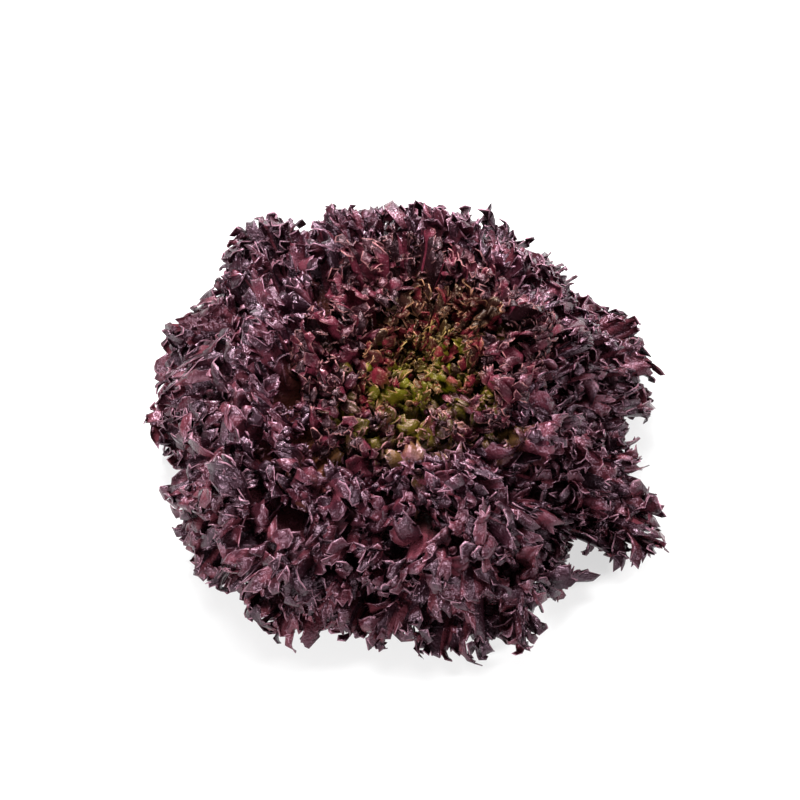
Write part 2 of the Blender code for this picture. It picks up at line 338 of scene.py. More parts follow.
def fine_chances(slot):
    """Draws for every small lobe: its size, its bends and ripple, its fingers and teeth, its tone.

    Neighbours curl to opposite sides, apart from a few that break the turn.
    """
    count = small_lobes(slot)
    chance = np.random.default_rng(FINE_SEEDS + slot["seed"])
    widths = chance.uniform(0.6, 1.4, count)
    return {
        "cuts": np.concatenate([[0], np.cumsum(widths)]) / widths.sum(),
        "curl": chance.uniform(1.1, 3.3, count),
        "side": np.where(chance.random(count) < TAKES_TURNS, 1.0, -1.0) * (-1.0) ** np.arange(count),
        "length": chance.uniform(0.70, 1.30, count),
        "sway": chance.uniform(-1, 1, count),
        "round": chance.uniform(0.35, 0.70, count),
        "notch": chance.uniform(0.55, 0.90, count + 1),
        "tone": chance.random(count),
        "drop": chance.uniform(-1, 1, slot["lobes"]),
        "fingers": chance.uniform(0.3, 1.0, count),
        "ripple": chance.uniform(0.4, 1.0, count),
        "waves": chance.uniform(0.9, 1.8, count) * TURN / 2,
        "phase": chance.uniform(0, TURN, count),
        "teeth": chance.uniform(-1, 1, count * COLUMNS + 1),
    }


def leaf_grid(slot):
    """Grid marks (small lobe, up the blade, out along the frill), from root to rim."""
    count = small_lobes(slot)
    small = np.linspace(0, count, count * COLUMNS + 1)
    blade = np.linspace(0, 1, BLADE_ROWS + 1)[:-1] ** BLADE_SPACING
    up = np.concatenate([blade, np.ones(FRILL_ROWS)])
    out = np.concatenate([np.zeros(BLADE_ROWS), np.linspace(0, 1, FRILL_ROWS)])
    columns, rows = np.meshgrid(small, up)
    return columns, rows, np.meshgrid(small, out)[1]


print("small lobes in all:", sum(small_lobes(slot) for slot in SLOTS))

# %% Folds and crests
CREST_SHARE = 0.36
CREST_SPREAD = 0.16
CREST_ON_BLADE = 0.6
FOLD_ON_FRILL = 0.1
FOLD_DROOP = 0.007
SIDE_ROUNDING = 0.25
RIM_WAVE = 0.035
RIM_WAVE_RATE = 2
RIM_WAVE_SHIFT = 1.7
LOBE_OVERHANG = 0.7
ROOT_WIDTH = 0.45
FULL_WIDTH_DISTANCE = 0.065
FINE_CLEARANCE = 0.0004


def ruffled_line(slot, small, up, out):
    """Where a leaf runs along and across its slot, seen from outside the rim.

    The folds give it first. The crests then push it CREST_SHARE * pitch * sin(pi * lobe) to the side
    and -CREST_SPREAD * pitch * sin(2 pi * lobe) along, where pitch is a lobe's share of the rim.
    """
    lobes = slot["lobes"]
    solid = solid_chances(slot)
    lobe = np.clip(small / small_lobes(slot), 0, 1) * lobes
    across_all = np.linspace(-FULL_WIDTH, FULL_WIDTH, RIM_SAMPLES)
    along_all, fold_all = fold_line(slot, solid["phase"], across_all, 1.0)
    rim = np.concatenate([[0], np.cumsum(np.hypot(np.diff(along_all), np.diff(fold_all)))])
    across = np.interp(np.interp(lobe, np.arange(lobes + 1), solid["cuts"]) * rim[-1], rim, across_all)
    amount = ease(up + FOLD_ON_FRILL * out, FOLD_START, FOLD_FULL)
    along, fold = fold_line(slot, solid["phase"], across, amount)
    ahead = np.stack(fold_line(slot, solid["phase"], across + STEP_AHEAD, amount), axis=-1)
    run = unit(ahead - np.stack([along, fold], axis=-1))
    pitch = rim[-1] / lobes
    grown = CREST_ON_BLADE * ease(up, FOLD_START, 1.0) + (1 - CREST_ON_BLADE) * out
    crest = CREST_SHARE * pitch * grown * np.sin(math.pi * lobe)
    spread = -CREST_SPREAD * pitch * grown * np.sin(TURN * lobe)
    return {
        "lobe": lobe,
        "across": across,
        "amount": amount,
        "along": along + run[..., 0] * spread - run[..., 1] * crest,
        "fold": fold + run[..., 1] * spread + run[..., 0] * crest,
        "rim_length": rim[-1],
        "phase": solid["phase"],
    }


def in_space(slot, line, along, fold, up, climb):
    """Points in space for places along and across a slot, and the blade's length.

    The distance from the stem is up * blade, plus what the frill climbs, minus what the folds droop.
    The blade is kept within its slot, and the frill may lean out of it between its neighbours.
    """
    across = line["across"]
    outline = 1 - SIDE_ROUNDING * np.abs(across) ** 3
    rim_wave = np.sin(RIM_WAVE_RATE * across + RIM_WAVE_SHIFT * line["phase"])
    outline = outline * (1 + RIM_WAVE * rim_wave)
    start = root_distance(slot["layer"])
    rim_layer = slot["layer"] + across * slot["half_layer"]
    reach = head_reach(rim_layer, slot["azimuth"] + across * slot["step"])
    blade = reach * outline - LOBE_OVERHANG * slot["lobe_length"] - start
    hang = FOLD_DROOP * line["amount"] * np.minimum(fold / (slot["half_layer"] * slot["rim"]), 1) ** 2
    distance = start + up * blade + climb - hang
    narrow = ROOT_WIDTH + (1 - ROOT_WIDTH) * ease(distance, 0, FULL_WIDTH_DISTANCE)
    side = keep_within(along / half_width(slot), FULL_WIDTH) * narrow
    room = np.maximum(half_room(slot, side) - FINE_CLEARANCE, 1e-5)
    kept = keep_within(line["fold"], room) + fold - line["fold"]
    layer = slot["layer"] + side * slot["half_layer"] + kept / slot["rim"]
    points = place(slot["azimuth"] + side * slot["step"], layer, distance)
    return settle(stir(tilt(points))), blade


first_line = ruffled_line(SLOTS[0], *leaf_grid(SLOTS[0]))
print("the first leaf's rim along its folds in mm:", round(first_line["rim_length"] / MM))

# %% The small lobes of the rim
FRILL_LENGTH = 0.95
FRILL_WIDENING = 0.20
FINGER_SHARE = 0.13
TEETH = 0.12
LOBE_DROP = 0.004
DROP_START = 0.6
FRILL_SWAY = 0.4
RIPPLE = 0.45
GROWTH = {"widening": 0.8, "ripple": 1.2, "sway": 1.3}


def fine_leaf(slot, small, up, out):
    """Points of a leaf's middle surface, with each point's depth, rim distance, tone and lobe share.

    A small lobe leaves the ruffled line as an arc of curvature k: after a length s it has gone
    (1 - cos(k s)) / k to the side and sin(k s) / k up. Its outline is (1 - x^2) to a power near a half,
    which is round, cut into fingers by cos(3 pi x), and the notches beside it are cut to a share
    of its length. A ripple sin(w x + phase), at right angles to the arc, bends the fingers apart.
    Ripple, sway and widening grow along the lobe, each as a power of out, the share of its length.
    """
    fine = fine_chances(slot)
    count = small_lobes(slot)
    line = ruffled_line(slot, small, up, out)
    way = np.stack([np.gradient(line["along"], axis=1), np.gradient(line["fold"], axis=1)], axis=-1)
    run = unit(way)

    def each(values):
        return np.interp(small, np.arange(count) + 0.5, values)

    which = np.minimum(np.floor(small).astype(int), count - 1)
    x = 2 * (small - which) - 1
    body = np.maximum(1 - x**2, 0)
    shape = body ** fine["round"][which]
    notch = np.interp(small, np.arange(count + 1), fine["notch"])
    teeth = 1 + TEETH * np.interp(small, small[0], fine["teeth"])
    teeth = teeth + FINGER_SHARE * fine["fingers"][which] * np.cos(3 * math.pi * x)
    full = slot["lobe_length"] * FRILL_LENGTH * each(fine["length"])
    length = full * (1 - notch * (1 - shape)) * teeth
    arc = out * length
    curvature = each(fine["curl"]) / full * np.sqrt(body) + 1e-6
    pitch = line["rim_length"] / count
    ripple = RIPPLE * pitch * fine["ripple"][which] * body * out ** GROWTH["ripple"]
    ripple = ripple * np.sin(fine["waves"][which] * x + fine["phase"][which])
    bend = curvature * arc
    side = each(fine["side"])
    aside = (1 - np.cos(bend)) / curvature * side + ripple * np.cos(bend)
    climb = np.sin(bend) / curvature - ripple * np.sin(bend) * side
    sway = FRILL_SWAY * each(fine["sway"]) * body * out ** GROWTH["sway"] * pitch
    widen = FRILL_WIDENING * pitch * np.sin(math.pi * x) * out ** GROWTH["widening"]
    along = line["along"] + run[..., 0] * (sway + widen) - run[..., 1] * aside
    fold = line["fold"] + run[..., 1] * (sway + widen) + run[..., 0] * aside
    drops = np.interp(line["lobe"], np.arange(slot["lobes"]) + 0.5, fine["drop"])
    drop = LOBE_DROP * drops * ease(up, DROP_START, 1.0)
    points, blade = in_space(slot, line, along, fold, up, climb + drop)
    sunk = (1 - up) * blade
    return points, {
        "depth_mm": (sunk - climb) / MM,
        "edge_mm": ((1 - out) * length + sunk) / MM,
        "tone": fine["tone"][which],
        "tip": out * shape,
    }


first_points, _ = fine_leaf(SLOTS[0], *leaf_grid(SLOTS[0]))
print("rows and columns of the first leaf:", first_points.shape[:2])

# %% [markdown]
# ## Tongues below the rim
#
# A real leaf is also cut in from its sides, and the lobes of those deeper cuts stand up between the
# folds. They are what fills the gaps, so that no bare blade shows. Each is a tongue: narrow at its
# root, broad and rolled like a gutter above, cut into three short fingers at its end and curled over.
# All tongues of a leaf are worked out at once, as one array with a row of numbers for each tongue.
# Every ninth is rooted deeper than the rest, in the hollows that would else show the bare blade.

# %% Where the tongues are rooted
TONGUES = {"outer": 103, "lower": 92, "upper": 96, "middle": 98, "inner": 94, "heart": 72}
TONGUE_DEPTHS = (0.001, 0.022)
DEPTHS_ARE_FOR_LOBES_OF = 0.010
HOLLOW_EVERY = 9
HOLLOW_DEPTH = 0.012
ROOT_STEP = 0.01


def blade_points(slot, small, up):
    """The blade's middle surface under given marks, with the folds and the crests but no frill."""
    line = ruffled_line(slot, small, up, 0.0)
    return in_space(slot, line, line["along"], line["fold"], up, 0.0)[0]


def tongue_roots(slot, chance, number):
    """Points on the blade with its own three directions there: up the blade, along it and off it."""
    count = small_lobes(slot)
    small = count * (np.arange(number) + chance.uniform(0.1, 0.9, number)) / number
    deep = chance.uniform(*TONGUE_DEPTHS, number) * slot["lobe_length"] / DEPTHS_ARE_FOR_LOBES_OF
    deep[::HOLLOW_EVERY] += HOLLOW_DEPTH
    up = 1 - deep / (slot["rim"] - root_distance(slot["layer"]))
    marks = np.stack([small, small + ROOT_STEP * count, small])
    heights = np.stack([up, up, up - ROOT_STEP])
    order = np.argsort(small)
    points = blade_points(slot, marks[:, order], heights[:, order])
    rise = unit(points[0] - points[2])
    off = unit(np.cross(unit(points[1] - points[0]), rise))
    return points[0], rise, np.cross(rise, off), off, deep[order]


print("tongues in all:", sum(TONGUES[slot["whorl"]] for slot in SLOTS))

# %% The tongue itself
TONGUE_SEEDS = 3000
TONGUE_COLUMNS = 7
TONGUE_ROWS = (-0.06, 0.28, 0.55, 0.80, 1.0)
TONGUE_NECK = 0.35
TONGUE_BROADEST = 0.60
TONGUE_CORNERS = 0.28
TONGUE_NARROWING = 0.22
TONGUE_JAGS = 0.05
ROLL_FULL = 0.45
RUFFLE_START = 0.1
TONGUE_LENGTHS = (0.6, 0.75)
LENGTH_POWER = 1.5
LONGEST_POWER = 8
LONGEST = {"outer": 0.9, "lower": 0.8, "upper": 0.7, "middle": 0.5, "inner": 0.5, "heart": 0.5}
TONGUE_SPANS = {
    # least and most of what is drawn for each tongue, in this order; widths are shares of its length
    "share": (0, 1),
    "width": (0.28, 0.46),
    "lean": (0.10, 0.80),
    "curl": (0.8, 3.4),
    "roll": (-1.3, 1.9),
    "twist": (-1.3, 1.3),
    "sway": (-0.35, 0.35),
    "ruffle": (0.20, 0.60),
    "ruffles": (2.6, 5.6),
    "phase": (0, TURN),
    "tone": (0, 1),
    "fingers": (0.02, 0.15),
}


def tongues(slot):
    """Middle surfaces of all of a leaf's tongues, with the same values as the blade has.

    The middle line leaves the blade at an angle a and bends at a steady rate c, so after a share t
    of its length it has gone (sin(a + c t) - sin a) / c up the blade and (cos a - cos(a + c t)) / c
    off it. Its end is cut into three short fingers by cos(3 pi x), with its corners drawn back by
    x^2. Across it the tongue is an arc of a circle, sin(r x) / r wide and (1 - cos(r x)) / r high,
    with ruffles sin(q x + phase) that grow towards its end, so that the fingers bend apart. Few
    tongues are long: the length goes by powers of a draw from 0 to 1, and the high power makes a
    handful of strays that stand out of the head.
    """
    chance = np.random.default_rng(TONGUE_SEEDS + slot["seed"])
    number = TONGUES[slot["whorl"]]
    base, rise, run, off, deep = tongue_roots(slot, chance, number)
    side = np.where(chance.random(number) < 0.5, -1.0, 1.0)[:, None, None, None]
    drawn = {name: chance.uniform(*span, number)[:, None, None] for name, span in TONGUE_SPANS.items()}
    jags = chance.uniform(-1, 1, (number, 1, TONGUE_COLUMNS))
    least, more = TONGUE_LENGTHS
    growth = least + more * drawn["share"] ** LENGTH_POWER
    growth = growth + LONGEST[slot["whorl"]] * drawn["share"] ** LONGEST_POWER
    length = slot["lobe_length"] * growth
    width = length * drawn["width"]
    lean = drawn["lean"]
    curl = drawn["curl"]

    y = np.array(TONGUE_ROWS)[None, :, None]
    x = np.linspace(-1, 1, TONGUE_COLUMNS)[None, None, :]
    above = np.maximum((y - TONGUE_BROADEST) / (1 - TONGUE_BROADEST), 0)
    below = np.minimum(y, TONGUE_BROADEST)
    cut = drawn["fingers"] * np.cos(3 * math.pi * x) + TONGUE_JAGS * jags
    ends = 1 - TONGUE_BROADEST - TONGUE_CORNERS * x**2 + cut
    t = below + above * ends
    swell = np.sin(np.maximum(below, 0) / TONGUE_BROADEST * math.pi / 2)
    half = width * (TONGUE_NECK + (1 - TONGUE_NECK) * swell)
    bend = drawn["roll"] * ease(t, 0, ROLL_FULL) + 1e-6
    reached = x * (1 - TONGUE_NARROWING * above**2)
    wide = half * np.sin(bend * reached) / bend
    high = half * (1 - np.cos(bend * reached)) / bend
    ruffle = drawn["ruffle"] * half * ease(t, RUFFLE_START, 1.0)
    high = high + ruffle * np.sin(drawn["ruffles"] * x + drawn["phase"])
    angle = lean + curl * t
    forward = length * (np.sin(angle) - np.sin(lean)) / curl
    aside = length * (np.cos(lean) - np.cos(angle)) / curl

    rise, run, off = (way[:, None, None, :] for way in (rise, run, off))
    over = -rise * np.sin(angle)[..., None] + side * off * np.cos(angle)[..., None]
    turned = (drawn["twist"] * t)[..., None]
    across = run * np.cos(turned) + over * np.sin(turned)
    over = over * np.cos(turned) - run * np.sin(turned)
    points = base[:, None, None, :] + rise * forward[..., None] + side * off * aside[..., None]
    wide = wide + drawn["sway"] * length * t**2
    points = points + across * wide[..., None] + over * high[..., None]
    points[..., 2] = np.maximum(points[..., 2], TABLE_GAP)
    return points, {
        "depth_mm": (deep[:, None, None] - forward) / MM,
        "edge_mm": np.minimum((1 - np.abs(x)) * half, (1 - y) * length) / MM,
        "tone": drawn["tone"] + 0 * t,
        "tip": np.clip(t, 0, 1),
    }


tongue_points, _ = tongues(SLOTS[0])
print("tongues, rows, columns and axes of the first leaf:", tongue_points.shape)

# %% [markdown]
# ## From surfaces to closed blades
#
# A leaf has a thickness, about half a millimetre. Each surface is doubled: one face half a
# thickness to either side, along the surface's own normals, and a narrow strip round the border.
# The strip matters: it catches the light as the thin bright line on every rim.

# %% Doubling a grid
BLADE = 0.0005


def grid_normals(points):
    """Normals of a grid of points: the cross product of its two differences."""
    return unit(np.cross(np.gradient(points, axis=-2), np.gradient(points, axis=-3)))


def doubled(points):
    """Vertices and quads of closed blades, from grids shaped (blades, rows, columns, 3)."""
    blades, rows, columns, _ = points.shape
    shift = grid_normals(points) * BLADE / 2
    vertices = np.stack([points + shift, points - shift], axis=1).reshape(-1, 3)
    number = np.arange(rows * columns).reshape(rows, columns)
    corners = [number[:-1, :-1], number[:-1, 1:], number[1:, 1:], number[1:, :-1]]
    front = np.stack(corners, axis=-1).reshape(-1, 4)
    border = np.concatenate([number[0, :-1], number[:-1, -1], number[-1, :0:-1], number[:0:-1, 0]])
    after = np.roll(border, -1)
    under = rows * columns
    strip = np.stack([after, border, border + under, after + under], axis=-1)
    one = np.concatenate([front, front[:, ::-1] + under, strip])
    quads = (one[None] + 2 * under * np.arange(blades)[:, None, None]).reshape(-1, 4)
    return vertices, quads


def doubled_values(values):
    """A value for each grid point, repeated for the two faces of its blade."""
    return np.stack([values, values], axis=1).ravel()


print("quads of the first leaf's tongues:", len(doubled(tongue_points)[1]))

# %% One mesh for a leaf
def add_piece(name, vertices, quads, values, finish):
    """A mesh object from arrays, with one number for each vertex under each value's name."""
    mesh = bpy.data.meshes.new(name)
    mesh.vertices.add(len(vertices))
    mesh.vertices.foreach_set("co", vertices.astype(np.float32).ravel())
    mesh.loops.add(quads.size)
    mesh.loops.foreach_set("vertex_index", quads.astype(np.int32).ravel())
    mesh.polygons.add(len(quads))
    mesh.polygons.foreach_set("loop_start", np.arange(0, quads.size, 4, dtype=np.int32))
    mesh.update(calc_edges=True)
    mesh.shade_smooth()
    for title, numbers in values.items():
        attribute = mesh.attributes.new(title, "FLOAT", "POINT")
        attribute.data.foreach_set("value", numbers.astype(np.float32))
    mesh.materials.append(finish)
    piece = bpy.data.objects.new(name, mesh)
    bpy.context.scene.collection.objects.link(piece)
    return piece


def build_leaf(slot, finish):
    """One leaf: its ruffled blade and its tongues, in one mesh that stands for the plain solid."""
    points, blade_values = fine_leaf(slot, *leaf_grid(slot))
    blade_vertices, blade_quads = doubled(points[None])
    points, tongue_values = tongues(slot)
    tongue_vertices, tongue_quads = doubled(points)
    vertices = np.concatenate([blade_vertices, tongue_vertices])
    quads = np.concatenate([blade_quads, tongue_quads + len(blade_vertices)])
    values = {}
    for title in blade_values:
        both = (doubled_values(blade_values[title][None]), doubled_values(tongue_values[title]))
        values[title] = np.concatenate(both)
    piece = add_piece(slot["name"] + "_fine", vertices, quads, values, finish)
    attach(piece, "root")
    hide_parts(slot["name"])
    return piece


# %% [markdown]
# ## The skin of a leaf
#
# Red lettuce is a green leaf with wine-red sap in the skin that the sun reaches. So the colour goes
# by depth below the head's outside: green or brown-green below, red to near-black above, with a
# patchy border between. Lobes differ: some are nearly black, some show a clear red, and towards
# their roots a painted glow, standing for light coming through the leaf, makes them redder still.
# Along the thin rim a pale line is painted in as a highlight. The skin is waxy and a little blistered
# between its veins, which breaks up its shine. The heart is shaded from the sun, so the green comes
# higher there, and far from it the depths are brown. All of that could be painted on each leaf. Here
# it is one node group, so that it follows the leaves wherever they grow, and each whorl has its own
# values.

# %% Helpers for nodes
def add_node(tree, kind, **settings):
    """A node with its settings, and values for the inputs that are named as text."""
    node = tree.nodes.new(kind)
    inputs = settings.pop("inputs", {})
    for name, value in settings.items():
        setattr(node, name, value)
    for name, value in inputs.items():
        node.inputs[name].default_value = value
    return node


def feed(tree, source, socket):
    """Links a socket to another one, or sets it to a number or a colour."""
    if isinstance(source, bpy.types.NodeSocket):
        tree.links.new(source, socket)
    else:
        socket.default_value = source


def noise(tree, place_socket, scale, detail):
    """A noise with features of 1 / scale metres."""
    node = add_node(tree, "ShaderNodeTexNoise", inputs={"Scale": scale, "Detail": detail})
    feed(tree, place_socket, node.inputs["Vector"])
    return node.outputs["Fac"]


def ranged(tree, value, span, to_low, to_high, way="SMOOTHSTEP"):
    """Takes the value's span, from low to high, to a new low and a new high."""
    node = add_node(tree, "ShaderNodeMapRange", interpolation_type=way)
    for socket, source in zip(node.inputs, (value, *span, to_low, to_high)):
        feed(tree, source, socket)
    return node.outputs["Result"]


def mixed(tree, share, first, second, way="MIX"):
    """The first colour where the share is 0, and the second, or their product, where it is 1."""
    node = add_node(tree, "ShaderNodeMix", data_type="RGBA", blend_type=way)
    for name, source in (("Factor", share), ("A", first), ("B", second)):
        feed(tree, source, next(item for item in node.inputs if item.name == name and item.enabled))
    return next(item for item in node.outputs if item.enabled)


def maths(tree, operation, first, second):
    """One sum or product of two values."""
    node = add_node(tree, "ShaderNodeMath", operation=operation)
    feed(tree, first, node.inputs[0])
    feed(tree, second, node.inputs[1])
    return node.outputs["Value"]


# %% The skin's values
PATCH_SCALE = 70.0
PATCH_DEPTH = 6.0
TONE_DEPTH = 3.0
HEART_PLACE = (0.004, -0.036, 0.080)
HEART_SPAN = (0.010, 0.050)
HEART_DEPTH = 17.0
BROWN_SPAN = (0.034, 0.066)
BROWN_TINT = (0.78, 0.42, 0.95, 1)
BLUSH_SCALE = 120.0
BLUSH_WANDER = 0.25
DARK_TONES = (0.24, 0.64)
BLUSH_TONES = (0.76, 1.08)
# Painted light: lobes are made redder towards their roots, as if light shone through them
ROOT_GLOW_SPAN = (0.10, 0.75)
ROOT_GLOW = 0.35
MOTTLE_SCALE = 420.0
MOTTLE = (0.82, 1.18)
GLOSS_SCALE = 160.0
GLOSS = (0.12, 0.32)
BLISTER_SCALE = 330.0
VEIN_SCALE = 900.0
# Painted highlight: a pale line along each rim, as if it caught the light, broken up by noise
RIM_GLINT_MM = 0.9
RIM_GLINT_SHARE = 0.70
RIM_GLINT_SCALE = 150.0
RIM_GLINT_NOISE_SPAN = (0.42, 0.62)
NOISE_SPAN = (0.3, 0.7)
SKIN_INPUTS = {
    "Place": "NodeSocketVector",
    "Depth": "NodeSocketFloat",
    "Edge": "NodeSocketFloat",
    "Tone": "NodeSocketFloat",
    "Tip": "NodeSocketFloat",
    "Deep Colour": "NodeSocketColor",
    "Skin Colour": "NodeSocketColor",
    "Dark Colour": "NodeSocketColor",
    "Blush Colour": "NodeSocketColor",
    "Rim Glint Colour": "NodeSocketColor",
    "Red Above": "NodeSocketFloat",
    "Green Below": "NodeSocketFloat",
}
SKIN_OUTPUTS = {
    "Colour": "NodeSocketColor",
    "Roughness": "NodeSocketFloat",
    "Height": "NodeSocketFloat",
}
print("values that a leaf's skin takes:", ", ".join(SKIN_INPUTS))

# %% The skin's node group
def skin_group():
    """Colour, roughness and height of a leaf's skin from depth, rim distance, tone and place."""
    group = bpy.data.node_groups.new("leaf_skin", "ShaderNodeTree")
    for sockets, way in ((SKIN_INPUTS, "INPUT"), (SKIN_OUTPUTS, "OUTPUT")):
        for name, kind in sockets.items():
            group.interface.new_socket(name=name, in_out=way, socket_type=kind)
    given = group.nodes.new("NodeGroupInput").outputs
    result = group.nodes.new("NodeGroupOutput").inputs

    def patches(scale, detail, low, high):
        """A noise at the leaf's place that wanders from low to high."""
        spots = noise(group, given["Place"], scale, detail)
        return ranged(group, spots, NOISE_SPAN, low, high, way="LINEAR")

    # How deep a spot is below the head's outside: deeper near the heart, and here and there
    patch = patches(PATCH_SCALE, 2.0, -PATCH_DEPTH, PATCH_DEPTH)
    greener = ranged(group, given["Tone"], (0.0, 1.0), TONE_DEPTH, -TONE_DEPTH, way="LINEAR")
    depth = maths(group, "ADD", maths(group, "ADD", given["Depth"], patch), greener)
    heart = add_node(group, "ShaderNodeVectorMath", operation="DISTANCE")
    feed(group, given["Place"], heart.inputs[0])
    feed(group, HEART_PLACE, heart.inputs[1])
    from_heart = heart.outputs["Value"]
    shaded = ranged(group, from_heart, HEART_SPAN, HEART_DEPTH, 0.0)
    depth = maths(group, "ADD", depth, shaded)
    green = ranged(group, depth, (given["Red Above"], given["Green Below"]), 0.0, 1.0)

    # The red skin, darker or redder by each lobe's tone, and the green below it
    wander = patches(BLUSH_SCALE, 3.0, -BLUSH_WANDER, BLUSH_WANDER)
    tone = maths(group, "ADD", given["Tone"], wander)
    # Painted light shining through: redder towards a lobe's root
    dark = ranged(group, tone, DARK_TONES, 1.0, 0.0)
    root = ranged(group, given["Tip"], ROOT_GLOW_SPAN, ROOT_GLOW, 0.0)
    blush = ranged(group, maths(group, "ADD", tone, root), BLUSH_TONES, 0.0, 1.0)
    skin = mixed(group, dark, given["Skin Colour"], given["Dark Colour"])
    skin = mixed(group, blush, skin, given["Blush Colour"])
    browned = ranged(group, from_heart, BROWN_SPAN, 0.0, 1.0)
    deep = mixed(group, browned, given["Deep Colour"], BROWN_TINT, way="MULTIPLY")
    colour = mixed(group, green, skin, deep)

    # Fine mottling, and a painted highlight: a pale line along the rim, broken up by noise in places
    mottle = patches(MOTTLE_SCALE, 4.0, *MOTTLE)
    grey = group.nodes.new("ShaderNodeCombineColor")
    for name in ("Red", "Green", "Blue"):
        feed(group, mottle, grey.inputs[name])
    colour = mixed(group, 1.0, colour, grey.outputs["Color"], way="MULTIPLY")
    spots = noise(group, given["Place"], RIM_GLINT_SCALE, 2.0)
    glint_share = ranged(group, spots, RIM_GLINT_NOISE_SPAN, 0.0, RIM_GLINT_SHARE, way="LINEAR")
    rim = ranged(group, given["Edge"], (0.0, RIM_GLINT_MM), glint_share, 0.0)
    feed(group, mixed(group, rim, colour, given["Rim Glint Colour"]), result["Colour"])

    # Waxy and dull patches, blisters and veins
    feed(group, patches(GLOSS_SCALE, 2.0, *GLOSS), result["Roughness"])
    blister = noise(group, given["Place"], BLISTER_SCALE, 2.0)
    vein = noise(group, given["Place"], VEIN_SCALE, 3.0)
    feed(group, maths(group, "ADD", blister, vein), result["Height"])
    return group


SKIN = skin_group()
print("nodes in the skin's group:", len(SKIN.nodes))

# %% A material for each whorl
BUMP = {"Distance": 0.0012, "Strength": 0.5}
SPECULAR = {"outer": 0.58, "lower": 0.58, "upper": 0.60, "middle": 0.48, "inner": 0.36, "heart": 0.32}
SHINE_TINTS = {
    "outer": (1.0, 0.65, 0.85),
    "lower": (1.0, 0.65, 0.85),
    "upper": (1.0, 0.65, 0.85),
    "middle": (0.86, 0.50, 0.58),
    "inner": (0.60, 0.41, 0.26),
    "heart": (0.54, 0.41, 0.22),
}

FINISHES = {
    # linear colours; the last two are depths in millimetres
    "outer": {
        "Deep Colour": (0.200, 0.095, 0.060),
        "Skin Colour": (0.031, 0.0066, 0.0102),
        "Dark Colour": (0.0126, 0.0034, 0.0058),
        "Blush Colour": (0.074, 0.0160, 0.0224),
        "Rim Glint Colour": (0.36, 0.18, 0.235),
        "Red Above": 12,
        "Green Below": 48,
    },
    "lower": {
        "Deep Colour": (0.190, 0.095, 0.055),
        "Skin Colour": (0.031, 0.0064, 0.0105),
        "Dark Colour": (0.0126, 0.0034, 0.0058),
        "Blush Colour": (0.074, 0.0155, 0.0228),
        "Rim Glint Colour": (0.36, 0.18, 0.235),
        "Red Above": 11,
        "Green Below": 44,
    },
    "upper": {
        "Deep Colour": (0.140, 0.075, 0.022),
        "Skin Colour": (0.031, 0.0062, 0.0110),
        "Dark Colour": (0.0118, 0.0031, 0.0057),
        "Blush Colour": (0.074, 0.0150, 0.0232),
        "Rim Glint Colour": (0.38, 0.18, 0.245),
        "Red Above": 9,
        "Green Below": 31,
    },
    "middle": {
        "Deep Colour": (0.068, 0.051, 0.005),
        "Skin Colour": (0.029, 0.0052, 0.0090),
        "Dark Colour": (0.0100, 0.0030, 0.0043),
        "Blush Colour": (0.082, 0.0120, 0.0220),
        "Rim Glint Colour": (0.38, 0.16, 0.16),
        "Red Above": 9,
        "Green Below": 24,
    },
    "inner": {
        "Deep Colour": (0.076, 0.070, 0.003),
        "Skin Colour": (0.031, 0.0052, 0.0058),
        "Dark Colour": (0.0125, 0.0038, 0.0030),
        "Blush Colour": (0.090, 0.0076, 0.0140),
        "Rim Glint Colour": (0.32, 0.15, 0.080),
        "Red Above": 9,
        "Green Below": 22,
    },
    "heart": {
        "Deep Colour": (0.090, 0.086, 0.003),
        "Skin Colour": (0.034, 0.0078, 0.0056),
        "Dark Colour": (0.0165, 0.0072, 0.0028),
        "Blush Colour": (0.096, 0.0092, 0.0140),
        "Rim Glint Colour": (0.34, 0.215, 0.07),
        "Red Above": 9,
        "Green Below": 23,
    },
}


def leaf_finish(whorl, group):
    """A waxy leaf: the skin group feeds colour, roughness and bump of one shader."""
    made = bpy.data.materials.new(f"{whorl}_leaf_skin")
    made.use_nodes = True
    tree = made.node_tree
    shader = tree.nodes["Principled BSDF"]
    shader.inputs["Specular IOR Level"].default_value = SPECULAR[whorl]
    shader.inputs["Specular Tint"].default_value = (*SHINE_TINTS[whorl], 1)
    skin = add_node(tree, "ShaderNodeGroup", node_tree=group)
    for name, value in FINISHES[whorl].items():
        skin.inputs[name].default_value = (*value, 1) if name.endswith("Colour") else value
    coordinates = add_node(tree, "ShaderNodeTexCoord")
    feed(tree, coordinates.outputs["Object"], skin.inputs["Place"])
    for title, name in (("depth_mm", "Depth"), ("edge_mm", "Edge"), ("tone", "Tone"), ("tip", "Tip")):
        value = add_node(tree, "ShaderNodeAttribute", attribute_name=title)
        feed(tree, value.outputs["Fac"], skin.inputs[name])
    bump = add_node(tree, "ShaderNodeBump", inputs=BUMP)
    feed(tree, skin.outputs["Height"], bump.inputs["Height"])
    feed(tree, skin.outputs["Colour"], shader.inputs["Base Color"])
    feed(tree, skin.outputs["Roughness"], shader.inputs["Roughness"])
    feed(tree, bump.outputs["Normal"], shader.inputs["Normal"])
    return made


leaf_finishes = {whorl: leaf_finish(whorl, SKIN) for whorl in FINISHES}
print("leaf materials:", ", ".join(finish.name for finish in leaf_finishes.values()))

# %% Grow all the leaves
triangles = 0
for slot in SLOTS:
    leaf = build_leaf(slot, leaf_finishes[slot["whorl"]])
    triangles += 2 * len(leaf.data.polygons)
print("leaf triangles:", triangles)

# %% [markdown]
# ## The cut stem
#
# The stem's solid is already the real shape, so it stays and only gets its finish: pale, moist
# tissue, greener and darker towards the rim of the cut, with a few brown stains where its milk has
# dried. The colour goes by the distance from the stem's axis, so the rings are true circles.

